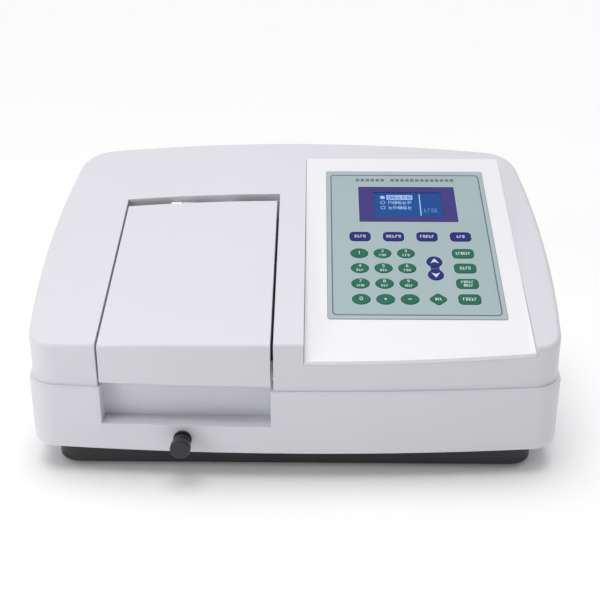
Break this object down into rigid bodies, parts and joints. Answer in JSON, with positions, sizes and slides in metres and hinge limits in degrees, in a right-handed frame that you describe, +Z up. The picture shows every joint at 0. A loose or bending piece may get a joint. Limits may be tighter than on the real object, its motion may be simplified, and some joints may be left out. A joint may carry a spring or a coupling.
{
  "type": "spectrophotometer",
  "caption": "Low bench spectrophotometer with a hinged sample lid, pull-rod cell changer and a sloping console with display and keypad.",
  "frame": {"origin": "centre of the bounding box in plan, on the plane the feet stand on", "axes": "+X to the operator's right along the long side, -Y towards the operator (lid and console face it), +Z up"},
  "size_m": [0.48, 0.3154, 0.2291],
  "materials": {
    "shell_white": "fine satin",
    "console_white": "satin",
    "overlay_teal": "semi-gloss film",
    "bezel_violet": "gloss",
    "display_blue": "gloss, backlit",
    "board_green": "solder mask",
    "base_black": "matte",
    "rubber_black": "matte",
    "knob_black": "satin",
    "steel": "brushed",
    "tub_black": "matte",
    "aluminium_satin": "satin",
    "anodised_black": "black anodised",
    "mirror": "polished",
    "lamp_glass": "clear",
    "panel_grey": "satin",
    "inlet_black": "matte",
    "rocker_red": "gloss",
    "fan_black": "matte",
    "key_navy": "semi-gloss",
    "key_green": "semi-gloss"
  },
  "bodies": {
    "cabinet": {"base_tray": "base_black", "case_screws": "steel", "cell_track": "aluminium_satin", "collimating_mirrors": "mirror", "console_plate": "console_white", "detector_housing": "anodised_black", "display_bezel": "bezel_violet", "display_glass": "display_blue", "display_module": "board_green", "fan_frame": "fan_black", "halogen_lamp": "lamp_glass", "hinge_brackets": "steel", "keypad_board": "board_green", "keypad_overlay": "overlay_teal", "lamp_housing": "steel", "lower_housing": "shell_white", "main_board": "board_green", "monochromator_casting": "aluminium_satin", "optical_bench": "aluminium_satin", "panel_screws": "steel", "power_inlet": "inlet_black", "power_supply": "steel", "rear_panel": "panel_grey", "rod_bushing": "knob_black", "rubber_feet": "rubber_black", "sample_tub": "tub_black", "upper_housing": "shell_white"},
    "lid": {"sample_lid": "shell_white", "lid_hinge_pin": "steel"},
    "changer": {"pull_knob": "knob_black", "pull_rod": "steel", "cell_holder": "anodised_black"},
    "grating": {"grating_turret": "aluminium_satin", "diffraction_grating": "mirror"},
    "wheel": {"filter_wheel": "anodised_black"},
    "fan": {"fan_rotor": "fan_black"},
    "rocker": {"power_rocker": "rocker_red"},
    "down_key": {"down_key": "key_navy"},
    "function_key_1": {"function_key_1": "key_green"},
    "function_key_2": {"function_key_2": "key_green"},
    "function_key_3": {"function_key_3": "key_green"},
    "function_key_4": {"function_key_4": "key_green"},
    "menu_key_1": {"menu_key_1": "key_navy"},
    "menu_key_2": {"menu_key_2": "key_navy"},
    "menu_key_3": {"menu_key_3": "key_navy"},
    "menu_key_4": {"menu_key_4": "key_navy"},
    "minus_key": {"minus_key": "key_green"},
    "number_key_0": {"number_key_0": "key_green"},
    "number_key_1": {"number_key_1": "key_green"},
    "number_key_2": {"number_key_2": "key_green"},
    "number_key_3": {"number_key_3": "key_green"},
    "number_key_4": {"number_key_4": "key_green"},
    "number_key_5": {"number_key_5": "key_green"},
    "number_key_6": {"number_key_6": "key_green"},
    "number_key_7": {"number_key_7": "key_green"},
    "number_key_8": {"number_key_8": "key_green"},
    "number_key_9": {"number_key_9": "key_green"},
    "point_key": {"point_key": "key_green"},
    "stop_key": {"stop_key": "key_green"},
    "up_key": {"up_key": "key_navy"}
  },
  "joints": [
    {"name": "lid_hinge", "type": "hinge", "parent": "cabinet", "child": "lid", "pos_m": [-0.093, 0.0582, 0.19], "axis": [-1, 0, 0], "range_deg": [0, 80]},
    {"name": "cell_changer_slide", "type": "slide", "parent": "cabinet", "child": "changer", "axis": [0, -1, 0], "range_m": [0, 0.045]},
    {"name": "grating_turn", "type": "hinge", "parent": "cabinet", "child": "grating", "pos_m": [0.092, 0.018, 0.027], "axis": [0, 0, 1], "range_deg": [-20, 35]},
    {"name": "filter_wheel_spin", "type": "hinge", "parent": "cabinet", "child": "wheel", "pos_m": [0.01, 0.009, 0.062], "axis": [1, 0, 0], "continuous": true},
    {"name": "fan_spin", "type": "hinge", "parent": "cabinet", "child": "fan", "pos_m": [0.16, 0.14, 0.13], "axis": [0, 1, 0], "continuous": true},
    {"name": "rocker_tilt", "type": "hinge", "parent": "cabinet", "child": "rocker", "pos_m": [-0.1355, 0.1515, 0.056], "axis": [-1, 0, 0], "range_deg": [0, 16]},
    {"name": "down_key_press", "type": "slide", "parent": "cabinet", "child": "down_key", "axis": [0, 0.3833, -0.9236], "range_m": [0, 0.0006], "stiffness_N_per_m": 150},
    {"name": "function_key_1_press", "type": "slide", "parent": "cabinet", "child": "function_key_1", "axis": [0, 0.3833, -0.9236], "range_m": [0, 0.0006], "stiffness_N_per_m": 150},
    {"name": "function_key_2_press", "type": "slide", "parent": "cabinet", "child": "function_key_2", "axis": [0, 0.3833, -0.9236], "range_m": [0, 0.0006], "stiffness_N_per_m": 150},
    {"name": "function_key_3_press", "type": "slide", "parent": "cabinet", "child": "function_key_3", "axis": [0, 0.3833, -0.9236], "range_m": [0, 0.0006], "stiffness_N_per_m": 150},
    {"name": "function_key_4_press", "type": "slide", "parent": "cabinet", "child": "function_key_4", "axis": [0, 0.3833, -0.9236], "range_m": [0, 0.0006], "stiffness_N_per_m": 150},
    {"name": "menu_key_1_press", "type": "slide", "parent": "cabinet", "child": "menu_key_1", "axis": [0, 0.3833, -0.9236], "range_m": [0, 0.0006], "stiffness_N_per_m": 150},
    {"name": "menu_key_2_press", "type": "slide", "parent": "cabinet", "child": "menu_key_2", "axis": [0, 0.3833, -0.9236], "range_m": [0, 0.0006], "stiffness_N_per_m": 150},
    {"name": "menu_key_3_press", "type": "slide", "parent": "cabinet", "child": "menu_key_3", "axis": [0, 0.3833, -0.9236], "range_m": [0, 0.0006], "stiffness_N_per_m": 150},
    {"name": "menu_key_4_press", "type": "slide", "parent": "cabinet", "child": "menu_key_4", "axis": [0, 0.3833, -0.9236], "range_m": [0, 0.0006], "stiffness_N_per_m": 150},
    {"name": "minus_key_press", "type": "slide", "parent": "cabinet", "child": "minus_key", "axis": [0, 0.3833, -0.9236], "range_m": [0, 0.0006], "stiffness_N_per_m": 150},
    {"name": "number_key_0_press", "type": "slide", "parent": "cabinet", "child": "number_key_0", "axis": [0, 0.3833, -0.9236], "range_m": [0, 0.0006], "stiffness_N_per_m": 150},
    {"name": "number_key_1_press", "type": "slide", "parent": "cabinet", "child": "number_key_1", "axis": [0, 0.3833, -0.9236], "range_m": [0, 0.0006], "stiffness_N_per_m": 150},
    {"name": "number_key_2_press", "type": "slide", "parent": "cabinet", "child": "number_key_2", "axis": [0, 0.3833, -0.9236], "range_m": [0, 0.0006], "stiffness_N_per_m": 150},
    {"name": "number_key_3_press", "type": "slide", "parent": "cabinet", "child": "number_key_3", "axis": [0, 0.3833, -0.9236], "range_m": [0, 0.0006], "stiffness_N_per_m": 150},
    {"name": "number_key_4_press", "type": "slide", "parent": "cabinet", "child": "number_key_4", "axis": [0, 0.3833, -0.9236], "range_m": [0, 0.0006], "stiffness_N_per_m": 150},
    {"name": "number_key_5_press", "type": "slide", "parent": "cabinet", "child": "number_key_5", "axis": [0, 0.3833, -0.9236], "range_m": [0, 0.0006], "stiffness_N_per_m": 150},
    {"name": "number_key_6_press", "type": "slide", "parent": "cabinet", "child": "number_key_6", "axis": [0, 0.3833, -0.9236], "range_m": [0, 0.0006], "stiffness_N_per_m": 150},
    {"name": "number_key_7_press", "type": "slide", "parent": "cabinet", "child": "number_key_7", "axis": [0, 0.3833, -0.9236], "range_m": [0, 0.0006], "stiffness_N_per_m": 150},
    {"name": "number_key_8_press", "type": "slide", "parent": "cabinet", "child": "number_key_8", "axis": [0, 0.3833, -0.9236], "range_m": [0, 0.0006], "stiffness_N_per_m": 150},
    {"name": "number_key_9_press", "type": "slide", "parent": "cabinet", "child": "number_key_9", "axis": [0, 0.3833, -0.9236], "range_m": [0, 0.0006], "stiffness_N_per_m": 150},
    {"name": "point_key_press", "type": "slide", "parent": "cabinet", "child": "point_key", "axis": [0, 0.3833, -0.9236], "range_m": [0, 0.0006], "stiffness_N_per_m": 150},
    {"name": "stop_key_press", "type": "slide", "parent": "cabinet", "child": "stop_key", "axis": [0, 0.3833, -0.9236], "range_m": [0, 0.0006], "stiffness_N_per_m": 150},
    {"name": "up_key_press", "type": "slide", "parent": "cabinet", "child": "up_key", "axis": [0, 0.3833, -0.9236], "range_m": [0, 0.0006], "stiffness_N_per_m": 150}
  ]
}
